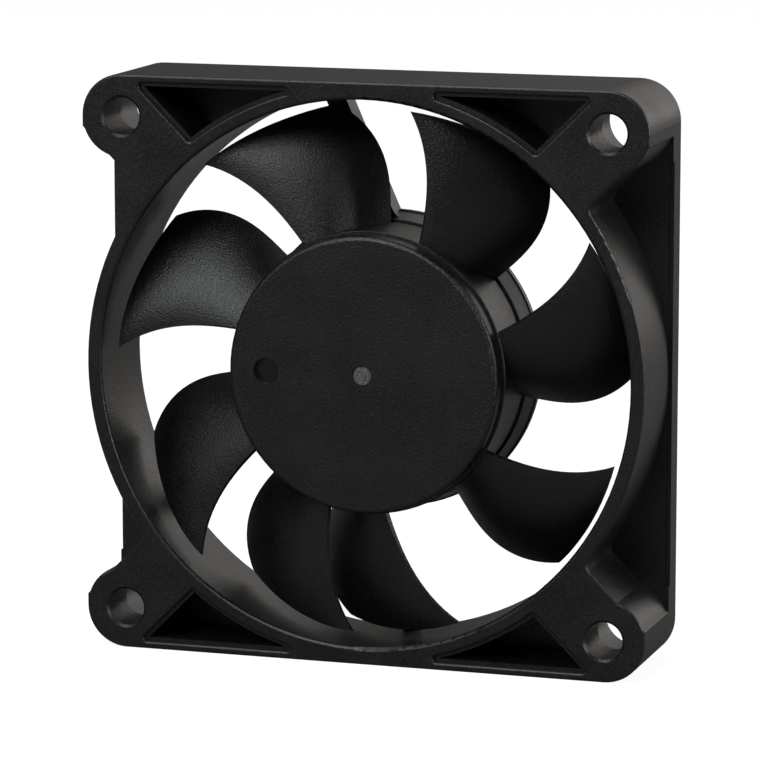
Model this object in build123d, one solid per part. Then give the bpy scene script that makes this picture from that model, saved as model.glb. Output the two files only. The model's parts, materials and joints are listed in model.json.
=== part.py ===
from build123d import *
from math import cos, radians, sin, sqrt
import os

# Axial cooling fan with a moulded frame, a ball-bearing rotor and a brushless motor. Millimetres.
# Each piece is drawn in the fan's own frame: x to the right, y up and z forwards along the axis,
# from the rear face at z = 0 to the front face. save() stands the fan upright with its front
# face towards -Y and its centre at the origin. Angles run counter-clockwise seen from the front.

# Clearances
SEAT_FIT = 0.02
BALL_FIT = 0.02
SHAFT_FIT = 0.02

# Frame
FRAME_WIDTH = 70.0
FRAME_DEPTH = 15.0
HOLE_INSET = 5.0
HOLE_SPACING = FRAME_WIDTH - 2 * HOLE_INSET
HOLE_DIA = 4.5
HOLE_CHAMFER = 0.3
HOLE_FRONT_LENGTH = 6.0
REAR_BORE_WALL = 1.3
EAR_HALF_WIDTH = 4.5
FLANGE_THICKNESS = 3.5
REBATE_WIDTH = 0.6
REBATE_DEPTH = 0.6
EDGE_WALL = 1.35
POCKET_RING_WALL = 2.05
POCKET_FLOOR = 5.0
DUCT_EDGE = 2.1
DUCT_DRAFT = 0.3
DUCT_LIP_ROUND = 0.45
DUCT_REAR_CHAMFER = 1.0
RING_WALL = 1.75
FRONT_ROUND = 0.3
POCKET_CORNER = 0.3
RECESS_CORNER = 1.2
LEDGE_WIDTH = 0.45
LEDGE_DEPTH = 0.6
WEB_INSET = 4.0

# Motor base and struts
BASE_FLUSH = 0.3
BASE_DRAFT = 0.8
BASE_STEP = 0.15
BASE_STEP_HEIGHT = 0.9
BASE_DEPTH = 3.6
BASE_PLATE = 1.2
BASE_WALL = 1.1
BASE_BOSS_WALL = 1.4
BASE_BOSS_TOP = 3.2
BASE_LIP = 0.6
STRUT_ANGLES = (0.0, 198.0, 258.0)
WIRE_STRUT_ANGLE = 92.0
WIRE_STRUT_SLANT = 22.0
STRUT_SLANT = 34.0
STRUT_WIDTH = 2.2
STRUT_DEPTH = 3.0
STRUT_ROOT_ROUND = 2.0
WIRE_STRUT_WIDTH = 2.4
WIRE_CHANNEL_WIDTH = 1.2
WIRE_CHANNEL_DEPTH = 1.7

# Impeller
HUB_RADIUS = 16.7
HUB_STEP = 0.35
HUB_STEP_DROP = 2.3
HUB_STEP_CHAMFER = 0.1
HUB_DRAFT = 0.05
HUB_WALL = 1.1
HUB_FACE_WALL = 1.2
HUB_RECESS = 0.5
HUB_ROUND = 0.6
ROTOR_GAP = 0.5
GATE_RADIUS = 1.2
GATE_DEPTH = 0.15
GATE_NUB_RADIUS = 0.45
DIMPLE_RADIUS = 1.6
DIMPLE_DEPTH = 0.7
DIMPLE_OFFSET = 12.0
TIP_CLEARANCE = 1.1
BLADE_ANGLES = (117.8, 67.9, 19.0, -30.5, -81.9, -106.4, -144.8, 164.6)
BLADE_ARC = 29.0
BLADE_SWEEP = 12.8
LEADING_BOW = 0.32
TRAILING_BOW = 0.95
BLADE_FRONT_ROOT = 2.5
BLADE_FRONT_TIP = 2.8
BLADE_REAR_RISE = 0.2
BLADE_CAMBER = 0.09
BLADE_ROOT_THICKNESS = 1.3
BLADE_TIP_THICKNESS = 0.9
BLADE_EDGE_SHARE = 0.4
BLADE_FULLNESS = 2.6
BLADE_ROOT_SINK = 0.3
BLADE_OVERSHOOT = 1.2

# Shaft, bearings and bearing tube
SHAFT_RADIUS = 1.5
SHAFT_END = 0.7
SHAFT_TOP_WALL = 0.5
SHAFT_CHAMFER = 0.2
CLIP_THICKNESS = 0.3
CLIP_RADIUS = 2.4
CLIP_GROOVE = 0.35
CLIP_MOUTH = 2.0
WASHER_THICKNESS = 0.25
WASHER_RADIUS = 2.3
CLIP_TO_END = 0.5
BEARING_RADIUS = 4.0
BEARING_WIDTH = 3.0
RACE_WALL = 0.75
BALL_RADIUS = 0.6
BALL_COUNT = 7
CAGE_WALL = 0.36
CAGE_WIDTH = 1.5
SHIELD_THICKNESS = 0.15
SHIELD_INSET = 0.15
SHIELD_GAP = 0.1
TUBE_WALL = 1.0
TUBE_SHOULDER = 0.6
TUBE_TO_YOKE = 0.6
TUBE_RIM = 0.3
BUSHING_WALL = 1.4
BUSHING_BOSS_WALL = 0.7
SPRING_HEIGHT = 0.6
SPRING_THICKNESS = 0.15
SPRING_GAP = 0.1

# Rotor magnet and yoke
YOKE_WALL = 0.8
YOKE_LIFT = 0.6
MAGNET_WALL = 1.9
MAGNET_TO_YOKE = 0.8
AIR_GAP = 0.5

# Stator
LAMINATION_THICKNESS = 0.5
COIL_TO_YOKE = 0.7
TOOTH_COUNT = 4
TOOTH_WIDTH = 2.6
CORE_WALL = 1.6
SHOE_THICKNESS = 1.2
SLOT_OPENING = 3.0
INSULATOR_FLOOR = 0.6
INSULATOR_SIDE = 0.3
INSULATOR_WALL = 0.7
INSULATOR_HEIGHT = 1.9
COIL_THICKNESS = 1.2
COIL_CLEARANCE = 0.05
COIL_ROUND = 0.5

# Circuit board
BOARD_THICKNESS = 1.0
BOARD_LIFT = 0.7
BOARD_CLEARANCE = 0.4
BOARD_RIB_WIDTH = 1.2
BOARD_RIB_INSET = 1.0
BOARD_RIB_ANGLES = (30.0, 150.0, 270.0)
PIN_RADIUS = 0.3
PIN_OFFSET = 1.95
PIN_TAIL = 0.4
PIN_ANGLES = (45.0, 135.0, 225.0)
LUG_WIDTH = 1.8
PART_INSET = 2.3
PART_CLEARANCE = 0.15
CHIP_SIZE = (4.0, 3.0, 1.0)
CHIP_ANGLE = 205.0
CHIP_STANDOFF = 0.1
CHIP_LEADS = 4
CHIP_LEAD_WIDTH = 0.4
CHIP_LEAD_THICKNESS = 0.25
CHIP_LEAD_REACH = 0.6
HALL_SIZE = (2.6, 1.6, 0.9)
HALL_ANGLE = 135.0
CAPACITOR_SIZE = (2.2, 1.4, 1.0)
CAPACITOR_ANGLES = (255.0, 72.0)
DIODE_SIZE = (3.0, 1.8, 1.0)
DIODE_ANGLE = 112.0
RESISTOR_SIZE = (1.6, 0.8, 0.45)
RESISTOR_ANGLES = (235.0, 275.0, 165.0)
PAD_ANGLES = (84.0, 96.0)
PAD_RADIUS = 0.9
PAD_TOP_RADIUS = 0.4
PAD_HEIGHT = 0.4

# Values worked out from the sizes above
half_width = FRAME_WIDTH / 2
corner_radius = HOLE_INSET
rear_bore = HOLE_INSET - REAR_BORE_WALL
duct_front = half_width - DUCT_EDGE
duct_rear = duct_front + DUCT_DRAFT
strut_reach = duct_rear + DUCT_REAR_CHAMFER
ring_outer = duct_front + RING_WALL
pocket_ring = duct_front + POCKET_RING_WALL
tip_radius = duct_front - TIP_CLEARANCE

rotor_rear = BASE_DEPTH + ROTOR_GAP
blade_rear = rotor_rear + BLADE_REAR_RISE
hub_face = FRAME_DEPTH - HUB_RECESS
hub_inside = hub_face - HUB_FACE_WALL
hub_bore = HUB_RADIUS - HUB_WALL
hub_side = HUB_RADIUS + HUB_STEP
hub_rear = hub_side + HUB_DRAFT
base_front = hub_rear + BASE_FLUSH
base_rear = base_front + BASE_DRAFT
base_inside = base_front - BASE_WALL

yoke_outer = hub_bore - SEAT_FIT
yoke_inner = yoke_outer - YOKE_WALL
yoke_rear = rotor_rear + YOKE_LIFT
yoke_inside = hub_inside - YOKE_WALL
magnet_outer = yoke_inner - SEAT_FIT
magnet_inner = magnet_outer - MAGNET_WALL
stator_radius = magnet_inner - AIR_GAP

tube_top = yoke_inside - TUBE_TO_YOKE
tube_bore = BEARING_RADIUS + SEAT_FIT
tube_outer = tube_bore + TUBE_WALL
front_bearing_top = tube_top - TUBE_RIM
front_bearing_z = front_bearing_top - BEARING_WIDTH
clip_z = SHAFT_END + CLIP_TO_END
washer_z = clip_z + CLIP_THICKNESS
rear_bearing_z = washer_z + WASHER_THICKNESS
bushing_radius = SHAFT_RADIUS + BUSHING_WALL
bushing_rear = front_bearing_top + SPRING_HEIGHT
bushing_top = hub_face - SHAFT_TOP_WALL
boss_radius = bushing_radius + BUSHING_BOSS_WALL

inner_race_radius = SHAFT_RADIUS + SHAFT_FIT + RACE_WALL
outer_race_radius = BEARING_RADIUS - RACE_WALL
ball_circle = (inner_race_radius + outer_race_radius) / 2

base_boss = tube_outer + SEAT_FIT + BASE_BOSS_WALL
board_z = BASE_PLATE + BOARD_LIFT
board_top = board_z + BOARD_THICKNESS
board_outer = base_inside - BOARD_CLEARANCE
board_inner = base_boss + BOARD_CLEARANCE
part_circle = board_outer - PART_INSET
parts_top = board_top + max(size[2] for size in (CHIP_SIZE, HALL_SIZE, CAPACITOR_SIZE, DIODE_SIZE))

core_bore = tube_outer + SEAT_FIT
core_ring = core_bore + CORE_WALL
core_z = parts_top + PART_CLEARANCE + INSULATOR_HEIGHT
coil_stand = INSULATOR_FLOOR + COIL_CLEARANCE + COIL_THICKNESS
lamination_count = round((yoke_inside - COIL_TO_YOKE - coil_stand - core_z) / LAMINATION_THICKNESS)
core_length = lamination_count * LAMINATION_THICKNESS
core_top = core_z + core_length
shoe_inner = stator_radius - SHOE_THICKNESS
pin_circle = core_ring + PIN_OFFSET


def disc(radius, low, high):
    """A solid disc about the axis, between two heights."""
    height = high - low
    return Pos(0, 0, low) * Cylinder(radius, height, align=(Align.CENTER, Align.CENTER, Align.MIN))


def tube(inner, outer, low, high):
    """A plain ring about the axis, between two heights."""
    return disc(outer, low, high) - disc(inner, low, high)


def block(length, width, low, high):
    """A box about the axis, between two heights."""
    height = high - low
    return Pos(0, 0, low) * Box(length, width, height, align=(Align.CENTER, Align.CENTER, Align.MIN))


def turned(*outline):
    """A solid turned about the axis from an outline of lines and arcs in radius and height."""
    edges = [edge for line in outline for edge in line.edges()]
    return revolve(Plane.XZ * make_face(Wire(edges)), Axis.Z)


def raised(sketch, low, high):
    """A sketch extruded between two heights."""
    return extrude(Pos(0, 0, low) * sketch, amount=high - low, dir=(0, 0, 1))


def at_angle(piece, radius, angle):
    """A piece moved out along the radius and turned about the axis."""
    return Rot(0, 0, angle) * Pos(radius, 0, 0) * piece


def strip_pair():
    """The two diagonal strips that carry the mounting ears."""
    strip = Rectangle(2 * FRAME_WIDTH, 2 * EAR_HALF_WIDTH)
    return Rot(0, 0, 45) * strip + Rot(0, 0, -45) * strip


def quadrant(reach, side):
    """The quarter of the frame between two diagonals, cut off at one height."""
    wedge = Polygon((0, 0), (-side, side), (side, side), align=None)
    return wedge & Pos(0, reach / 2) * Rectangle(2 * side, reach)


def upper_pockets():
    """Outlines of the two pockets beside the top edge wall."""
    region = quadrant(half_width - EDGE_WALL, FRAME_WIDTH) - Circle(pocket_ring) - strip_pair()
    return [fillet(face.vertices(), POCKET_CORNER) for face in region.faces().sort_by(SortBy.AREA)[-2:]]


def on_circle(vertices, radius):
    """The vertices that lie on a circle about the axis."""
    return [v for v in vertices if abs(Vector(v.X, v.Y).length - radius) < SEAT_FIT / 2]


def side_recess():
    """Outline of the open recess between the two ears of one side, pointing up."""
    ears = [Pos(sign * HOLE_SPACING / 2, HOLE_SPACING / 2) * Circle(corner_radius) for sign in (1, -1)]
    region = quadrant(half_width + corner_radius, FRAME_WIDTH) - Circle(ring_outer) - strip_pair() - ears
    face = region.faces().sort_by(SortBy.AREA)[-1]
    return fillet(on_circle(face.vertices(), ring_outer), RECESS_CORNER)


def web_outline():
    """The web that closes the inner part of the upper left recess."""
    width = half_width - WEB_INSET
    return Pos(-width / 2, half_width / 2) * Rectangle(width, half_width)


def frame_block():
    """The square frame with its pockets and recesses, before the duct is cut."""
    outline = RectangleRounded(FRAME_WIDTH, FRAME_WIDTH, corner_radius)
    body = raised(outline, 0, FRAME_DEPTH)
    ledge_z = FRAME_DEPTH - LEDGE_DEPTH
    for pocket in upper_pockets():
        for turn in (0, 180):
            shape = Rot(0, 0, turn) * Sketch(pocket.wrapped)
            body -= raised(shape, POCKET_FLOOR, FRAME_DEPTH)
            body -= raised(offset(shape, LEDGE_WIDTH), ledge_z, FRAME_DEPTH)
    recess = side_recess()
    body -= raised(Rot(0, 0, -90) * recess, FLANGE_THICKNESS, FRAME_DEPTH)
    left = Rot(0, 0, 90) * recess - web_outline()
    body -= raised(left, FLANGE_THICKNESS, FRAME_DEPTH)
    rims = body.edges().filter_by_position(Axis.Z, FRAME_DEPTH, FRAME_DEPTH)
    return fillet(rims, FRONT_ROUND)


def duct_cutter():
    """The air duct with its rounded front lip and its chamfered rear edge."""
    lip = DUCT_LIP_ROUND
    lip_start = (duct_front, FRAME_DEPTH - lip)
    lip_end = (duct_front + lip, FRAME_DEPTH)
    lip_middle = (duct_front + lip * (1 - sqrt(0.5)), FRAME_DEPTH - lip * (1 - sqrt(0.5)))
    rear = duct_rear + DUCT_REAR_CHAMFER
    lower = Polyline((0, -1), (rear, -1), (rear, 0), (duct_rear, DUCT_REAR_CHAMFER), lip_start)
    round_lip = ThreePointArc(lip_start, lip_middle, lip_end)
    upper = Polyline(lip_end, (duct_front + lip, FRAME_DEPTH + 1), (0, FRAME_DEPTH + 1), (0, -1))
    return turned(lower, round_lip, upper)


def mounting_holes():
    """The four through holes: a screw bore from the front, then a wider bore to the rear face."""
    radius = HOLE_DIA / 2
    hole = disc(radius, -1, FRAME_DEPTH + 1)
    hole += disc(rear_bore, -1, FRAME_DEPTH - HOLE_FRONT_LENGTH)
    mouth = Cone(radius, radius + HOLE_CHAMFER, HOLE_CHAMFER, align=(Align.CENTER, Align.CENTER, Align.MIN))
    hole += Pos(0, 0, FRAME_DEPTH - HOLE_CHAMFER) * mouth
    return [place * hole for place in GridLocations(HOLE_SPACING, HOLE_SPACING, 2, 2)]


def edge_rebates():
    """The narrow steps along the left and right edges of the rear flange."""
    low = FLANGE_THICKNESS - REBATE_DEPTH
    length = HOLE_SPACING - 2 * EAR_HALF_WIDTH
    step = block(REBATE_WIDTH * 2, length, low, FLANGE_THICKNESS)
    return [Pos(sign * half_width, 0, 0) * step for sign in (1, -1)]


def strut_plan(angle, slant, width):
    """A slanted strut seen along the axis, from inside the motor base to beyond the duct."""
    beam = Pos(half_width / 2 - width, 0) * Rectangle(half_width, width)
    return Rot(0, 0, angle) * Pos(base_front, 0) * Rot(0, 0, slant) * beam


def struts():
    """The struts with rounded roots, on the disc that the motor base stands over."""
    plan = Circle(base_front) + strut_plan(WIRE_STRUT_ANGLE, WIRE_STRUT_SLANT, WIRE_STRUT_WIDTH)
    for angle in STRUT_ANGLES:
        plan += strut_plan(angle, STRUT_SLANT, STRUT_WIDTH)
    plan = fillet(on_circle(plan.vertices(), base_front), STRUT_ROOT_ROUND)
    return raised(plan & Circle(strut_reach), 0, STRUT_DEPTH)


def motor_base():
    """The round motor base, wider at its rear, with a fine step round its foot."""
    foot = base_rear - BASE_STEP
    side = ((0, 0), (base_rear, 0), (base_rear, BASE_STEP_HEIGHT), (foot, BASE_STEP_HEIGHT))
    return turned(Polyline(*side, (base_front, BASE_DEPTH), (0, BASE_DEPTH), (0, 0)))


def base_inner_parts():
    """The boss that holds the bearing tube, and the ribs under the board."""
    parts = disc(base_boss, 0, BASE_BOSS_TOP)
    start = board_inner + BOARD_RIB_INSET
    length = board_outer - BOARD_RIB_INSET - start
    for angle in BOARD_RIB_ANGLES:
        rib = block(length, BOARD_RIB_WIDTH, BASE_PLATE, board_z)
        parts += at_angle(rib, start + length / 2, angle)
    return parts


def housing():
    """The moulded frame: outer square, duct, struts and motor base in one piece."""
    body = frame_block() - duct_cutter() - mounting_holes() - edge_rebates()
    body += struts()
    body += motor_base()
    body -= disc(base_inside, BASE_PLATE, BASE_DEPTH)
    body += base_inner_parts()
    channel = strut_plan(WIRE_STRUT_ANGLE, WIRE_STRUT_SLANT, WIRE_CHANNEL_WIDTH)
    body -= raised(channel & Circle(strut_reach) - Circle(board_outer), 0, WIRE_CHANNEL_DEPTH)
    body -= disc(tube_outer + SEAT_FIT, BASE_LIP, BASE_BOSS_TOP)
    body -= disc(tube_bore, 0, BASE_LIP)
    return body


def bearing_tube():
    """Brass tube with a bearing seat at each end and a shoulder between them."""
    shoulder = tube_bore - TUBE_SHOULDER
    body = tube(shoulder, tube_outer, BASE_LIP, tube_top)
    body -= disc(tube_bore, BASE_LIP, rear_bearing_z + BEARING_WIDTH)
    body -= disc(tube_bore, front_bearing_z, tube_top)
    return body


def race_groove(centre):
    """The ring-shaped groove that the balls of one bearing run in."""
    return Pos(0, 0, centre) * Torus(ball_circle, BALL_RADIUS + BALL_FIT)


def bearing(low):
    """The pieces of one shielded ball bearing, by name, from its rear end upwards."""
    high = low + BEARING_WIDTH
    centre = (low + high) / 2
    shield_inner = inner_race_radius + SHIELD_GAP
    shield_outer = outer_race_radius + RACE_WALL / 2
    outer = tube(outer_race_radius, BEARING_RADIUS, low, high) - race_groove(centre)
    inner = tube(SHAFT_RADIUS + SHAFT_FIT, inner_race_radius, low, high) - race_groove(centre)
    shields = []
    for bottom in (low + SHIELD_INSET, high - SHIELD_INSET - SHIELD_THICKNESS):
        top = bottom + SHIELD_THICKNESS
        shields.append(tube(shield_inner, shield_outer - SEAT_FIT, bottom, top))
        outer -= disc(shield_outer, bottom, top)
    outer -= disc(shield_outer, low, low + SHIELD_INSET)
    outer -= disc(shield_outer, high - SHIELD_INSET, high)
    spots = [Pos(0, 0, centre) * place for place in PolarLocations(ball_circle, BALL_COUNT)]
    cage = tube(ball_circle - CAGE_WALL / 2, ball_circle + CAGE_WALL / 2,
                centre - CAGE_WIDTH / 2, centre + CAGE_WIDTH / 2)
    pocket = Rot(0, 90, 0) * Cylinder(BALL_RADIUS + BALL_FIT, 2 * CAGE_WALL)
    for spot in spots:
        cage -= spot * pocket
    return {
        "outer_ring": outer,
        "inner_ring": inner,
        "shields": shields,
        "balls": [spot * Sphere(BALL_RADIUS) for spot in spots],
        "cage": cage,
    }


def shaft():
    """Steel shaft with chamfered ends and the groove for its retaining ring."""
    body = disc(SHAFT_RADIUS, SHAFT_END, bushing_top)
    body = chamfer(body.edges().filter_by(GeomType.CIRCLE), SHAFT_CHAMFER)
    groove = tube(SHAFT_RADIUS - CLIP_GROOVE, SHAFT_RADIUS + 1, clip_z - SEAT_FIT, washer_z + SEAT_FIT)
    return body - groove


def retaining_ring():
    """Open ring that snaps into the shaft groove behind the rear bearing."""
    inner = SHAFT_RADIUS - CLIP_GROOVE + SEAT_FIT
    ring = tube(inner, CLIP_RADIUS, clip_z, washer_z)
    mouth = Pos(CLIP_RADIUS, 0, 0) * block(2 * CLIP_RADIUS, CLIP_MOUTH, clip_z, washer_z)
    return ring - mouth


def thrust_washer():
    return tube(SHAFT_RADIUS + SHAFT_FIT, WASHER_RADIUS, washer_z, rear_bearing_z)


def spring_washer():
    """Conical spring washer between the front bearing and the rotor bushing."""
    low = front_bearing_top
    high = bushing_rear
    inner = SHAFT_RADIUS + SPRING_GAP
    outer = inner_race_radius
    edge = SPRING_THICKNESS
    rear = ((outer - edge, low), (outer, low))
    front = ((inner + edge, high), (inner, high))
    return turned(Polyline(*rear, *front, rear[0]))


def shaft_bushing():
    """Brass bushing moulded into the hub, which holds the shaft."""
    return tube(SHAFT_RADIUS + SEAT_FIT, bushing_radius, bushing_rear, bushing_top)


def rotor_yoke():
    """Deep-drawn steel cup that closes the magnetic circuit."""
    cup = disc(yoke_outer, yoke_rear, hub_inside) - disc(yoke_inner, yoke_rear, yoke_inside)
    return cup - disc(boss_radius + SEAT_FIT, yoke_inside, hub_inside)


def rotor_magnet():
    return tube(magnet_inner, magnet_outer, yoke_rear, yoke_inside - MAGNET_TO_YOKE)


def lead(fraction, bow):
    """How far a blade edge leads its root, in degrees, at a fraction of the span."""
    return BLADE_SWEEP * ((1 - bow) * fraction + bow * fraction ** 3)


def blade_section(radius):
    """One cambered blade section on a plane across the radius, thickest behind its leading edge."""
    fraction = (radius - hub_side) / (tip_radius - hub_side)
    front_angle = lead(fraction, LEADING_BOW)
    rear_angle = lead(fraction, TRAILING_BOW) - BLADE_ARC
    middle = (front_angle + rear_angle) / 2
    half_arc = radians(front_angle - rear_angle) / 2
    front_drop = BLADE_FRONT_ROOT + (BLADE_FRONT_TIP - BLADE_FRONT_ROOT) * fraction
    thickness = BLADE_ROOT_THICKNESS + (BLADE_TIP_THICKNESS - BLADE_ROOT_THICKNESS) * fraction
    leading = Vector(radius * sin(half_arc), hub_face - front_drop)
    trailing = Vector(-radius * sin(half_arc), blade_rear)
    chord = trailing - leading
    normal = Vector(chord.Y, -chord.X)

    def surface(back, side):
        """A point at a fraction of the chord behind the leading edge, on one of the two skins."""
        bend = 4 * BLADE_CAMBER * back * (1 - back)
        fullness = BLADE_FULLNESS * sqrt(back) * (1 - back)
        half_thickness = thickness / 2 * (BLADE_EDGE_SHARE + (1 - BLADE_EDGE_SHARE) * fullness)
        return leading + chord * back + normal * (bend + side * half_thickness / chord.length)

    steps = (0, 0.15, 0.4, 0.7, 1)
    front = Spline([surface(step, 1) for step in steps])
    rear = Spline([surface(step, -1) for step in reversed(steps)])
    edges = [front, Line(front @ 1, rear @ 0), rear, Line(rear @ 1, front @ 0)]
    outward = (cos(radians(middle)), sin(radians(middle)), 0)
    along_hub = (-sin(radians(middle)), cos(radians(middle)), 0)
    origin = Vector(*outward) * radius * cos(half_arc)
    return Plane(origin=origin, x_dir=along_hub, z_dir=outward) * make_face(Wire(edges))


def blade():
    """One swept blade, from inside the hub wall to just beyond the tip circle."""
    root = hub_side - BLADE_ROOT_SINK
    stations = 5
    span = tip_radius + BLADE_OVERSHOOT - root
    return loft([blade_section(root + span * index / (stations - 1)) for index in range(stations)])


def hub():
    """The solid hub with its rounded face rim and the shoulder behind it."""
    corner = HUB_ROUND * (1 - sqrt(0.5))
    shoulder = hub_face - HUB_STEP_DROP
    rim_start = (HUB_RADIUS, hub_face - HUB_ROUND)
    rim_end = (HUB_RADIUS - HUB_ROUND, hub_face)
    side = Polyline((0, rotor_rear), (hub_rear, rotor_rear), (hub_side, shoulder - HUB_STEP_CHAMFER),
                    (hub_side - HUB_STEP_CHAMFER, shoulder), (HUB_RADIUS, shoulder), rim_start)
    rim = ThreePointArc(rim_start, (HUB_RADIUS - corner, hub_face - corner), rim_end)
    return turned(side, rim, Polyline(rim_end, (0, hub_face), (0, rotor_rear)))


def impeller():
    """The moulded impeller: hub cup, shaft boss and blades in one piece."""
    wing = blade()
    body = hub() + [Rot(0, 0, angle) * wing for angle in BLADE_ANGLES]
    body = body & disc(tip_radius, rotor_rear, hub_face)
    body -= disc(hub_bore, rotor_rear, hub_inside)
    body += disc(boss_radius, bushing_rear, hub_inside)
    body -= disc(bushing_radius + SEAT_FIT, bushing_rear, bushing_top)
    body -= tube(GATE_NUB_RADIUS, GATE_RADIUS, hub_face - GATE_DEPTH, hub_face)
    body -= Pos(-DIMPLE_OFFSET, 0, 0) * disc(DIMPLE_RADIUS, hub_face - DIMPLE_DEPTH, hub_face)
    return body


def slot_openings():
    """The two crossed slots that part the four pole shoes."""
    slot = Rectangle(SLOT_OPENING, 4 * stator_radius)
    return Rot(0, 0, 45) * slot + Rot(0, 0, -45) * slot


def lamination():
    """Outline of one stator plate: a ring, four teeth and their pole shoes."""
    shoes = Circle(stator_radius) - Circle(shoe_inner) - slot_openings()
    teeth = Rectangle(2 * shoe_inner + 1, TOOTH_WIDTH) + Rectangle(TOOTH_WIDTH, 2 * shoe_inner + 1)
    return Circle(core_ring) + teeth + shoes - Circle(core_bore)


def stator_laminations():
    plate = raised(lamination(), core_z, core_z + LAMINATION_THICKNESS)
    return [Pos(0, 0, index * LAMINATION_THICKNESS) * plate for index in range(lamination_count)]


def insulator(face, outward):
    """Moulded insulator on one end face of the stator, with walls that hold the coils."""

    def raised_by(sketch, height):
        low, high = sorted((face, face + outward * height))
        return raised(sketch, low, high)

    arm_width = TOOTH_WIDTH + 2 * INSULATOR_SIDE
    arms = Rectangle(2 * shoe_inner, arm_width) + Rectangle(arm_width, 2 * shoe_inner)
    flange = Circle(shoe_inner + INSULATOR_WALL) - Circle(shoe_inner) - slot_openings()
    inner_wall = Circle(core_ring) - Circle(core_ring - INSULATOR_WALL)
    body = raised_by(Circle(core_ring) + arms - Circle(core_bore), INSULATOR_FLOOR)
    return body + raised_by(flange, INSULATOR_HEIGHT) + raised_by(inner_wall, INSULATOR_HEIGHT)


def front_insulator():
    return insulator(core_top, 1)


def rear_insulator():
    """The rear insulator also carries the winding pins and stands on the base boss."""
    body = insulator(core_z, -1)
    body += tube(core_bore, base_boss - SEAT_FIT, BASE_BOSS_TOP, core_z)
    start = core_ring - INSULATOR_WALL
    length = pin_circle + LUG_WIDTH / 2 - start
    low = core_z - INSULATOR_FLOOR
    for angle in PIN_ANGLES:
        body += at_angle(block(length, LUG_WIDTH, low, core_z), start + length / 2, angle)
        body -= at_angle(disc(PIN_RADIUS, low, core_z), pin_circle, angle)
    return body


def coils():
    """Four windings, one round each tooth and its insulators."""
    inner_width = TOOTH_WIDTH + 2 * INSULATOR_SIDE + 2 * COIL_CLEARANCE
    inner_height = core_length + 2 * INSULATOR_FLOOR + 2 * COIL_CLEARANCE
    outer_width = inner_width + 2 * COIL_THICKNESS
    start = core_ring + COIL_CLEARANCE
    end = sqrt(shoe_inner ** 2 - (outer_width / 2) ** 2) - COIL_CLEARANCE
    outer = RectangleRounded(outer_width, inner_height + 2 * COIL_THICKNESS, COIL_ROUND)
    section = Plane.YZ * (outer - Rectangle(inner_width, inner_height))
    winding = extrude(Pos(start, 0, (core_z + core_top) / 2) * section, amount=end - start, dir=(1, 0, 0))
    return [place * winding for place in PolarLocations(0, TOOTH_COUNT)]


def circuit_board():
    """Ring-shaped board on the ribs of the motor base."""
    board = tube(board_inner, board_outer, board_z, board_top)
    for angle in PIN_ANGLES:
        board -= at_angle(disc(PIN_RADIUS + SEAT_FIT, board_z, board_top), pin_circle, angle)
    return board


def winding_pins():
    low = board_z - PIN_TAIL
    return [at_angle(disc(PIN_RADIUS - SEAT_FIT, low, core_z), pin_circle, angle) for angle in PIN_ANGLES]


def board_part(size, angle):
    """A flat component soldered on the front of the board, its length along the rim."""
    length, width, height = size
    return at_angle(block(width, length, board_top, board_top + height), part_circle, angle)


def drive_chip():
    """Motor driver with four leads on each side."""
    length, width, height = CHIP_SIZE
    body = block(width, length, board_top + CHIP_STANDOFF, board_top + height)
    pitch = length / CHIP_LEADS
    reach = width + 2 * CHIP_LEAD_REACH
    lead_pair = block(reach, CHIP_LEAD_WIDTH, board_top, board_top + CHIP_LEAD_THICKNESS)
    for index in range(CHIP_LEADS):
        body += Pos(0, (index - (CHIP_LEADS - 1) / 2) * pitch, 0) * lead_pair
    return at_angle(body, part_circle, CHIP_ANGLE)


def solder_pads():
    """Two solder mounds where the lead wires join the board."""
    mound = Cone(PAD_RADIUS, PAD_TOP_RADIUS, PAD_HEIGHT, align=(Align.CENTER, Align.CENTER, Align.MIN))
    mound = Pos(0, 0, board_top) * mound
    return [at_angle(mound, part_circle, angle) for angle in PAD_ANGLES]


def save(name, piece):
    """Stands a piece, or a group of loose pieces, in the part's frame and writes it."""
    solids = []
    for item in piece if isinstance(piece, list) else [piece]:
        solids.extend(item.solids())
    upright = Plane.XZ.offset(-FRAME_DEPTH / 2).location
    placed = [upright * solid for solid in solids]
    shape = placed[0] if len(placed) == 1 else Compound(children=placed)
    export_step(shape, f"parts/{name}.step")


def main():
    os.makedirs("parts", exist_ok=True)
    pieces = {
        "housing": housing(),
        "bearing_tube": bearing_tube(),
        "stator_laminations": stator_laminations(),
        "front_insulator": front_insulator(),
        "rear_insulator": rear_insulator(),
        "coils": coils(),
        "circuit_board": circuit_board(),
        "winding_pins": winding_pins(),
        "drive_chip": drive_chip(),
        "hall_sensor": board_part(HALL_SIZE, HALL_ANGLE),
        "diode": board_part(DIODE_SIZE, DIODE_ANGLE),
        "capacitors": [board_part(CAPACITOR_SIZE, angle) for angle in CAPACITOR_ANGLES],
        "resistors": [board_part(RESISTOR_SIZE, angle) for angle in RESISTOR_ANGLES],
        "solder_pads": solder_pads(),
        "impeller": impeller(),
        "rotor_yoke": rotor_yoke(),
        "rotor_magnet": rotor_magnet(),
        "shaft": shaft(),
        "shaft_bushing": shaft_bushing(),
        "spring_washer": spring_washer(),
        "thrust_washer": thrust_washer(),
        "retaining_ring": retaining_ring(),
    }
    for end, low in (("front", front_bearing_z), ("rear", rear_bearing_z)):
        for name, piece in bearing(low).items():
            pieces[f"{end}_bearing_{name}"] = piece
    for name, piece in pieces.items():
        save(name, piece)


main()
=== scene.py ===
import json
from math import radians

import bmesh
import bpy
from mathutils import Matrix, Vector


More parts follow.
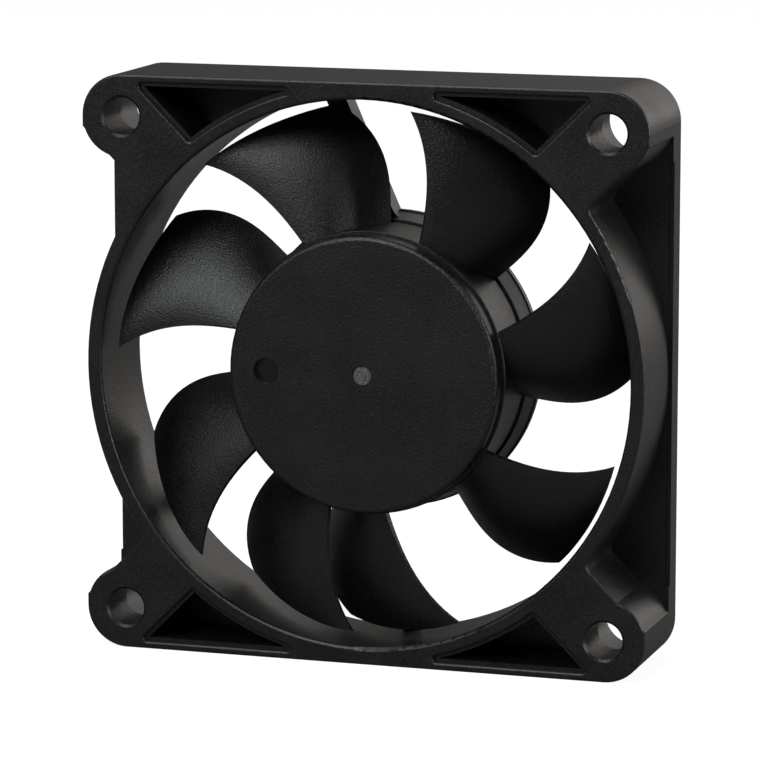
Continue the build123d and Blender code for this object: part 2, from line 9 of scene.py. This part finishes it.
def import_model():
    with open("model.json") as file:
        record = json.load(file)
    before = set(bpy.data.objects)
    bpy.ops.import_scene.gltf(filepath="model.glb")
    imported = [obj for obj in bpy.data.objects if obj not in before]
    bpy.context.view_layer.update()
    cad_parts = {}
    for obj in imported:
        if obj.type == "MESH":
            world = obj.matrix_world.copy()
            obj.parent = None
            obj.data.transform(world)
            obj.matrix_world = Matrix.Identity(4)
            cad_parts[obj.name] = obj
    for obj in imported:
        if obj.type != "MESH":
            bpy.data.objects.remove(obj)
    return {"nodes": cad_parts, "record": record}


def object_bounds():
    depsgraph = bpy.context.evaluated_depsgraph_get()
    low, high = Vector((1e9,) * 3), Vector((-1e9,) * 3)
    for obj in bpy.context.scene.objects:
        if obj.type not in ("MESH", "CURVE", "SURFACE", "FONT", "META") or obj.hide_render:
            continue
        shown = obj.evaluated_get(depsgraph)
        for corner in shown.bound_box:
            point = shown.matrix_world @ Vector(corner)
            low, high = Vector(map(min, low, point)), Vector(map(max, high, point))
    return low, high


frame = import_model()
nodes = frame["nodes"]
cad_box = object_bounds()

# Camera, at the photograph's viewing angle
CAMERA_PLACE = Vector((0.1569, -0.4919, 0.0886))
CAMERA_AIM = Vector((0.00245, -0.0075, -0.00024))
CAMERA_ROLL = radians(0.01)
CAMERA_LENS = 206.7
CAMERA_SENSOR = 36.0
CAMERA_NEAR, CAMERA_FAR = 0.01, 20.0

# Softboxes around the fan, all aimed at its middle
SOFTBOX_SIZE = 0.45
SOFTBOXES = {
    "front_softbox": dict(place=(-0.092, -0.691, 0.571), power=3.5, tint=(0.95, 0.98, 1.0)),
    "left_softbox": dict(place=(-0.462, -0.647, 0.416), power=1.3, tint=(0.95, 0.98, 1.0)),
    "right_softbox": dict(place=(0.858, -0.101, 0.252), power=4.6, tint=(1.0, 0.97, 0.93)),
    "right_rear_softbox": dict(place=(0.498, 0.748, 0.050), power=0.35, tint=(1.0, 0.94, 0.87)),
    "top_rear_softbox": dict(place=(0.0, 0.611, 0.662), power=0.5, tint=(1.0, 0.95, 0.88)),
    "overhead_softbox": dict(place=(-0.27, -0.14, 0.85), power=2.6, tint=(1.0, 0.98, 0.96)),
}

# Room and backdrop: the ranges are parts of a unit direction, towards the back and towards the right
FRONT_FILL = 0.09
BACKDROP_EDGE = (-0.05, 0.45)
BACKDROP_FADE = (-0.30, 0.20)
BACKDROP_LEFT = 0.12
BACKDROP_WHITE = 0.8
BACKDROP_TINT = (1.0, 0.97, 0.93)
WHITE = (1.0, 1.0, 1.0, 1.0)

# Floor
FLOOR_HEIGHT = cad_box[0][2]
FLOOR_WIDTH = 6.0
FLOOR_GREY = 0.22
FLOOR_WHITE = 0.90

# Spark-eroded grain: how far the pits count in its height, and the noise that makes flecks and clouds
PIT_SHARE = 0.6
FLECK_RANGE = (0.42, 0.72)
CLOUD_RANGE = (0.3, 0.7)
GRAINS_PER_CLOUD = 36.0
COLOUR_BY_FLECK, COLOUR_BY_CLOUD = 0.75, 0.25
GLOSS_BY_FLECK, GLOSS_BY_CLOUD = 0.7, 0.3

# Lathe rings and wound wire
RING_LINE_RANGE = (0.35, 0.65)
# Groove share: the part of each wire turn that is painted darker, as shade between the turns
GROOVE_SHARE = 0.2
ENAMEL_COAT = 0.6
COAT_ROUGHNESS = 0.15

# Marks in the hub's face: the broken-off gate on the axis and the dimple beside it
MARKS_BEHIND = -0.0060
MARK_EDGE = (0.92, 1.0)
GATE_RADIUS = 0.00114
GATE_PALE = (0.17, 0.17, 0.175)
GATE_GRAIN = 0.00030
GATE_SHARES = (0.45, 1.0)
GATE_ROUGHNESS = 0.75
DIMPLE_PLACE = -0.012
DIMPLE_RADIUS = 0.00158
DIMPLE_BLACK = (0.0012, 0.0012, 0.0012)
DIMPLE_ROUGHNESS = 0.20

# Finishes, with grain, pitch and depth in metres
BLACK_DARK = (0.0008, 0.0008, 0.0009)
BLACK_LIGHT = (0.0110, 0.0108, 0.0111)
MOULDED = {
    "frame_plastic": dict(
        dark=BLACK_DARK, light=BLACK_LIGHT, roughness=(0.32, 0.50), grain=0.00019, depth=0.000026),
    "impeller_plastic": dict(
        dark=BLACK_DARK, light=BLACK_LIGHT, roughness=(0.29, 0.50), grain=0.00020, depth=0.000050),
    "insulator_plastic": dict(
        dark=(0.62, 0.60, 0.52), light=(0.74, 0.73, 0.66),
        roughness=(0.35, 0.5), grain=0.0003, depth=0.000004),
    "component_black": dict(
        dark=(0.010, 0.010, 0.011), light=(0.03, 0.03, 0.032),
        roughness=(0.5, 0.7), grain=0.00012, depth=0.000004),
    "component_tan": dict(
        dark=(0.36, 0.25, 0.14), light=(0.50, 0.38, 0.24),
        roughness=(0.5, 0.7), grain=0.00010, depth=0.000004),
    "board": dict(
        dark=(0.008, 0.075, 0.022), light=(0.02, 0.15, 0.05),
        roughness=(0.22, 0.36), grain=0.0009, depth=0.000006, coat=0.3),
    "magnet": dict(
        dark=(0.030, 0.028, 0.027), light=(0.075, 0.07, 0.066),
        roughness=(0.6, 0.8), grain=0.00010, depth=0.000006),
}
PLATED = {
    "zinc_steel": dict(
        dark=(0.38, 0.39, 0.41), light=(0.58, 0.59, 0.60),
        roughness=(0.26, 0.42), grain=0.0004, depth=0.000002),
    "core_steel": dict(
        dark=(0.16, 0.16, 0.17), light=(0.34, 0.34, 0.35),
        roughness=(0.35, 0.55), grain=0.0003, depth=0.000003),
    "tinned_steel": dict(
        dark=(0.46, 0.46, 0.45), light=(0.70, 0.70, 0.68),
        roughness=(0.18, 0.34), grain=0.0005, depth=0.000003),
}
TURNED = {
    "brass": dict(
        dark=(0.52, 0.36, 0.13), light=(0.72, 0.53, 0.25),
        roughness=(0.18, 0.32), pitch=0.00012, depth=0.000002),
    "bearing_steel": dict(
        dark=(0.42, 0.42, 0.43), light=(0.66, 0.66, 0.67),
        roughness=(0.10, 0.22), pitch=0.00008, depth=0.000001),
}
WOUND = {
    # Copper's dark colour is painted shade for the grooves between the turns; its light colour is the wire
    # itself
    "copper": dict(
        dark=(0.16, 0.045, 0.014), light=(0.62, 0.24, 0.09),
        roughness=(0.25, 0.5), pitch=0.0003, depth=0.00008),
}


def camera():
    data = bpy.data.cameras.new("photo_camera")
    data.sensor_fit = "HORIZONTAL"
    data.sensor_width = CAMERA_SENSOR
    data.lens = CAMERA_LENS
    data.clip_start = CAMERA_NEAR
    data.clip_end = CAMERA_FAR
    obj = bpy.data.objects.new("photo_camera", data)
    bpy.context.scene.collection.objects.link(obj)
    turn = (CAMERA_AIM - CAMERA_PLACE).to_track_quat("-Z", "Y").to_matrix()
    roll = Matrix.Rotation(-CAMERA_ROLL, 3, "Z")
    obj.matrix_world = Matrix.Translation(CAMERA_PLACE) @ (turn @ roll).to_4x4()
    bpy.context.scene.camera = obj


def softbox(name, place, power, tint):
    """A square lamp that faces the middle of the fan."""
    data = bpy.data.lights.new(name, "AREA")
    data.shape = "SQUARE"
    data.size = SOFTBOX_SIZE
    data.energy = power
    data.color = tint
    obj = bpy.data.objects.new(name, data)
    bpy.context.scene.collection.objects.link(obj)
    aim = (-Vector(place)).to_track_quat("-Z", "Y").to_matrix().to_4x4()
    obj.matrix_world = Matrix.Translation(place) @ aim


def put(tree, kind, values=None, **settings):
    """Adds a shader node with its settings, and values or links for its inputs by name or number."""
    node = tree.nodes.new(kind)
    for name, value in settings.items():
        setattr(node, name, value)
    for name, value in (values or {}).items():
        if isinstance(value, bpy.types.NodeSocket):
            tree.links.new(value, node.inputs[name])
        else:
            node.inputs[name].default_value = value
    return node


def worked(tree, operation, first, second=0.0, third=0.0):
    """One step of arithmetic on numbers or links."""
    return put(tree, "ShaderNodeMath", {0: first, 1: second, 2: third}, operation=operation).outputs[0]


def ranged(tree, value, from_low, from_high, to_low=0.0, to_high=1.0):
    """A value carried from one range to another, eased at both ends."""
    values = {
        "Value": value, "From Min": from_low, "From Max": from_high, "To Min": to_low, "To Max": to_high}
    return put(tree, "ShaderNodeMapRange", values, interpolation_type="SMOOTHSTEP").outputs["Result"]


def blended(tree, share, first, second):
    """Two colours, or a link and a colour, mixed by a share."""
    start = first if isinstance(first, bpy.types.NodeSocket) else (*first, 1)
    values = {"Factor": share, "A": start, "B": (*second, 1)}
    return put(tree, "ShaderNodeMix", values, data_type="RGBA").outputs["Result"]


def world():
    """White to the camera, with a dim room in front and a backdrop that is white to the right."""
    room = bpy.data.worlds.new("studio")
    bpy.context.scene.world = room
    room.use_nodes = True
    tree = room.node_tree
    tree.nodes.clear()
    way = put(tree, "ShaderNodeSeparateXYZ", {0: put(tree, "ShaderNodeTexCoord").outputs["Generated"]})
    backdrop = ranged(tree, way.outputs["X"], *BACKDROP_FADE, BACKDROP_LEFT, BACKDROP_WHITE)
    behind = ranged(tree, way.outputs["Y"], *BACKDROP_EDGE)
    glow = worked(tree, "MULTIPLY_ADD", behind, worked(tree, "SUBTRACT", backdrop, FRONT_FILL), FRONT_FILL)
    path = put(tree, "ShaderNodeLightPath")
    seen = put(tree, "ShaderNodeBackground", {"Color": WHITE, "Strength": 1.0})
    around = put(tree, "ShaderNodeBackground", {"Color": (*BACKDROP_TINT, 1), "Strength": glow})
    clear = worked(tree, "MAXIMUM", path.outputs["Is Camera Ray"], path.outputs["Is Transmission Ray"])
    mix = put(tree, "ShaderNodeMixShader", {0: clear, 1: around.outputs[0], 2: seen.outputs[0]})
    put(tree, "ShaderNodeOutputWorld", {"Surface": mix.outputs[0]})


def floor():
    """The pale floor under the fan: white to the camera but for the shadow, and clear from below."""
    mesh = bpy.data.meshes.new("floor")
    form = bmesh.new()
    bmesh.ops.create_grid(form, x_segments=1, y_segments=1, size=FLOOR_WIDTH / 2)
    bmesh.ops.translate(form, vec=(0, 0, FLOOR_HEIGHT), verts=form.verts)
    form.to_mesh(mesh)
    form.free()
    obj = bpy.data.objects.new("floor", mesh)
    bpy.context.scene.collection.objects.link(obj)
    mat = bpy.data.materials.new("floor_paper")
    mat.use_nodes = True
    tree = mat.node_tree
    tree.nodes.clear()
    path = put(tree, "ShaderNodeLightPath")
    side = put(tree, "ShaderNodeNewGeometry")
    paper = put(tree, "ShaderNodeBsdfDiffuse", {"Color": (FLOOR_GREY, FLOOR_GREY, FLOOR_GREY, 1)})
    shine = put(tree, "ShaderNodeEmission", {"Color": WHITE, "Strength": FLOOR_WHITE})
    seen = put(tree, "ShaderNodeAddShader", {0: paper.outputs[0], 1: shine.outputs[0]})
    mix = put(tree, "ShaderNodeMixShader", {
        0: path.outputs["Is Camera Ray"], 1: paper.outputs[0], 2: seen.outputs[0]})
    clear = put(tree, "ShaderNodeBsdfTransparent")
    below = put(tree, "ShaderNodeMixShader", {
        0: side.outputs["Backfacing"], 1: mix.outputs[0], 2: clear.outputs[0]})
    put(tree, "ShaderNodeOutputMaterial", {"Surface": below.outputs[0]})
    mesh.materials.append(mat)


def effect(name, inputs, outputs):
    """An empty effect: a node group with its named number inputs and outputs."""
    tree = bpy.data.node_groups.new(name, "ShaderNodeTree")
    for title, value in inputs.items():
        socket = tree.interface.new_socket(title, in_out="INPUT", socket_type="NodeSocketFloat")
        socket.default_value = value
    for title in outputs:
        tree.interface.new_socket(title, in_out="OUTPUT", socket_type="NodeSocketFloat")
    return tree, put(tree, "NodeGroupInput").outputs


def object_place(tree):
    return put(tree, "ShaderNodeTexCoord").outputs["Object"]


def off_axis(tree, sideways, upwards):
    """The distance from an axis along Y, given the two steps away from it."""
    across = put(tree, "ShaderNodeCombineXYZ", {"X": sideways, "Z": upwards}).outputs[0]
    return put(tree, "ShaderNodeVectorMath", {0: across}, operation="LENGTH").outputs["Value"]


def spark_grain():
    """Spark-eroded grain: fine pits, flecks between them, and slow clouds of gloss."""
    tree, given = effect("spark_grain", {"Grain Size": 0.0002}, ("Height", "Fleck", "Cloud"))
    place = object_place(tree)
    count = worked(tree, "DIVIDE", 1.0, given["Grain Size"])
    fine = put(tree, "ShaderNodeTexNoise", {"Vector": place, "Scale": count, "Detail": 2.0, "Roughness": 0.7})
    pits = put(tree, "ShaderNodeTexVoronoi", {"Vector": place, "Scale": count}, feature="SMOOTH_F1")
    cloud_count = worked(tree, "DIVIDE", count, GRAINS_PER_CLOUD)
    cloud = put(tree, "ShaderNodeTexNoise", {"Vector": place, "Scale": cloud_count, "Detail": 3.0})
    put(tree, "NodeGroupOutput", {
        "Height": worked(tree, "MULTIPLY_ADD", pits.outputs["Distance"], PIT_SHARE, fine.outputs[0]),
        "Fleck": ranged(tree, fine.outputs[0], *FLECK_RANGE),
        "Cloud": ranged(tree, cloud.outputs[0], *CLOUD_RANGE)})
    return tree


def tool_rings():
    """Fine rings about the fan's axis, as a lathe or a grinding wheel leaves them."""
    tree, given = effect("tool_rings", {"Ring Pitch": 0.00015}, ("Height", "Line"))
    place = put(tree, "ShaderNodeSeparateXYZ", {0: object_place(tree)}).outputs
    radius = off_axis(tree, place["X"], place["Z"])
    track = put(tree, "ShaderNodeCombineXYZ", {"X": radius, "Y": place["Y"]}).outputs[0]
    count = worked(tree, "DIVIDE", 1.0, given["Ring Pitch"])
    rings = put(tree, "ShaderNodeTexNoise", {"Vector": track, "Scale": count, "Detail": 2.0}).outputs[0]
    put(tree, "NodeGroupOutput", {"Height": rings, "Line": ranged(tree, rings, *RING_LINE_RANGE)})
    return tree


def wound_lines():
    """Turns of wire side by side along each coil, which reaches outwards from the axis; its groove mask
    between the turns carries painted shade.
    """
    tree, given = effect("wound_lines", {"Wire Pitch": 0.0003}, ("Height", "Shaded Groove"))
    place = put(tree, "ShaderNodeSeparateXYZ", {0: object_place(tree)}).outputs
    sideways, upwards = worked(tree, "ABSOLUTE", place["X"]), worked(tree, "ABSOLUTE", place["Z"])
    along = worked(tree, "MAXIMUM", sideways, upwards)
    half_pitch = worked(tree, "MULTIPLY", given["Wire Pitch"], 0.5)
    share = worked(tree, "DIVIDE", worked(tree, "PINGPONG", along, half_pitch), given["Wire Pitch"])
    put(tree, "NodeGroupOutput", {
        "Height": worked(tree, "SQRT", share), "Shaded Groove": ranged(tree, share, 0.0, GROOVE_SHARE, 1.0, 0.0)})
    return tree


def round_mark():
    """A small disc in the hub's face: its soft-edged mask, for a mark at a given place along X."""
    tree, given = effect("round_mark", {"Place": 0.0, "Radius": 0.001}, ("Mask",))
    place = put(tree, "ShaderNodeSeparateXYZ", {0: object_place(tree)}).outputs
    reach = off_axis(tree, worked(tree, "SUBTRACT", place["X"], given["Place"]), place["Z"])
    share = worked(tree, "DIVIDE", reach, given["Radius"])
    in_front = worked(tree, "LESS_THAN", place["Y"], MARKS_BEHIND)
    mask = worked(tree, "MULTIPLY", ranged(tree, share, *MARK_EDGE, 1.0, 0.0), in_front)
    put(tree, "NodeGroupOutput", {"Mask": mask})
    return tree


def laid(tree, group, **values):
    """An effect placed in a material with its own values."""
    node = put(tree, "ShaderNodeGroup", node_tree=group)
    for title, value in values.items():
        node.inputs[title.replace("_", " ")].default_value = value
    return node.outputs


def new_finish(name, metallic=0.0, coat=0.0):
    """A material with its shader, and the values that are the same all over it."""
    mat = bpy.data.materials.new(name)
    mat.use_nodes = True
    tree = mat.node_tree
    shader = tree.nodes["Principled BSDF"]
    shader.inputs["Metallic"].default_value = metallic
    shader.inputs["Coat Weight"].default_value = coat
    shader.inputs["Coat Roughness"].default_value = COAT_ROUGHNESS
    return mat, tree, shader


def relief(tree, shader, height, depth):
    """Raises the surface by a height pattern, its full depth in metres."""
    bump = put(tree, "ShaderNodeBump", {"Height": height, "Distance": depth, "Strength": 1.0})
    tree.links.new(bump.outputs["Normal"], shader.inputs["Normal"])


def moulded(name, dark, light, roughness, grain, depth, metallic=0.0, coat=0.0):
    """A finish with spark-eroded or crystalline grain, its colour and gloss drifting slowly."""
    mat, tree, shader = new_finish(name, metallic, coat)
    texture = laid(tree, GRAIN, Grain_Size=grain)
    cloud = worked(tree, "MULTIPLY", texture["Cloud"], COLOUR_BY_CLOUD)
    share = worked(tree, "MULTIPLY_ADD", texture["Fleck"], COLOUR_BY_FLECK, cloud)
    tree.links.new(blended(tree, share, dark, light), shader.inputs["Base Color"])
    fleck = worked(tree, "MULTIPLY", texture["Fleck"], GLOSS_BY_FLECK)
    gloss = worked(tree, "MULTIPLY_ADD", texture["Cloud"], GLOSS_BY_CLOUD, fleck)
    tree.links.new(ranged(tree, gloss, 0.0, 1.0, *roughness), shader.inputs["Roughness"])
    relief(tree, shader, texture["Height"], depth)
    return mat


def turned(name, dark, light, roughness, pitch, depth):
    """A metal finish with fine rings about the axis."""
    mat, tree, shader = new_finish(name, metallic=1.0)
    rings = laid(tree, RINGS, Ring_Pitch=pitch)
    tree.links.new(blended(tree, rings["Line"], dark, light), shader.inputs["Base Color"])
    tree.links.new(ranged(tree, rings["Line"], 0.0, 1.0, *roughness), shader.inputs["Roughness"])
    relief(tree, shader, rings["Height"], depth)
    return mat


def wire_enamel(name, dark, light, roughness, pitch, depth):
    """Enamelled copper wire, wound side by side, with painted shade darkening the grooves between the turns.
    """
    mat, tree, shader = new_finish(name, metallic=1.0, coat=ENAMEL_COAT)
    turns = laid(tree, TURNS, Wire_Pitch=pitch)
    # Painted shade: the groove mask darkens the copper between the turns
    tree.links.new(blended(tree, turns["Shaded Groove"], light, dark), shader.inputs["Base Color"])
    tree.links.new(ranged(tree, turns["Shaded Groove"], 0.0, 1.0, *roughness), shader.inputs["Roughness"])
    relief(tree, shader, turns["Height"], depth)
    return mat


def mark_hub_face(mat):
    """Adds the pale broken-off gate and the smooth dimple on the hub's face to the impeller's finish."""
    tree = mat.node_tree
    shader = tree.nodes["Principled BSDF"]
    colour = shader.inputs["Base Color"].links[0].from_socket
    gloss = shader.inputs["Roughness"].links[0].from_socket
    torn = laid(tree, GRAIN, Grain_Size=GATE_GRAIN)["Fleck"]
    gate = laid(tree, MARK, Radius=GATE_RADIUS)["Mask"]
    pale = worked(tree, "MULTIPLY", gate, ranged(tree, torn, 0.0, 1.0, *GATE_SHARES))
    dimple = laid(tree, MARK, Place=DIMPLE_PLACE, Radius=DIMPLE_RADIUS)["Mask"]
    colour = blended(tree, pale, colour, GATE_PALE)
    colour = blended(tree, dimple, colour, DIMPLE_BLACK)
    for mask, roughness in ((gate, GATE_ROUGHNESS), (dimple, DIMPLE_ROUGHNESS)):
        gloss = put(tree, "ShaderNodeMix", {"Factor": mask, "A": gloss, "B": roughness}).outputs["Result"]
    tree.links.new(colour, shader.inputs["Base Color"])
    tree.links.new(gloss, shader.inputs["Roughness"])


GRAIN, RINGS, TURNS, MARK = spark_grain(), tool_rings(), wound_lines(), round_mark()
finishes = {name: moulded(name, **values) for name, values in MOULDED.items()}
finishes |= {name: moulded(name, metallic=1.0, **values) for name, values in PLATED.items()}
finishes |= {name: turned(name, **values) for name, values in TURNED.items()}
finishes |= {name: wire_enamel(name, **values) for name, values in WOUND.items()}
mark_hub_face(finishes["impeller_plastic"])

camera()
world()
floor()
for box_name, box in SOFTBOXES.items():
    softbox(box_name, **box)
bpy.context.scene.view_settings.view_transform = "Standard"

for part in frame["record"]["subparts"]:
    mesh = nodes[part["node"]].data
    mesh.materials.clear()
    mesh.materials.append(finishes[part["material_slot"]])
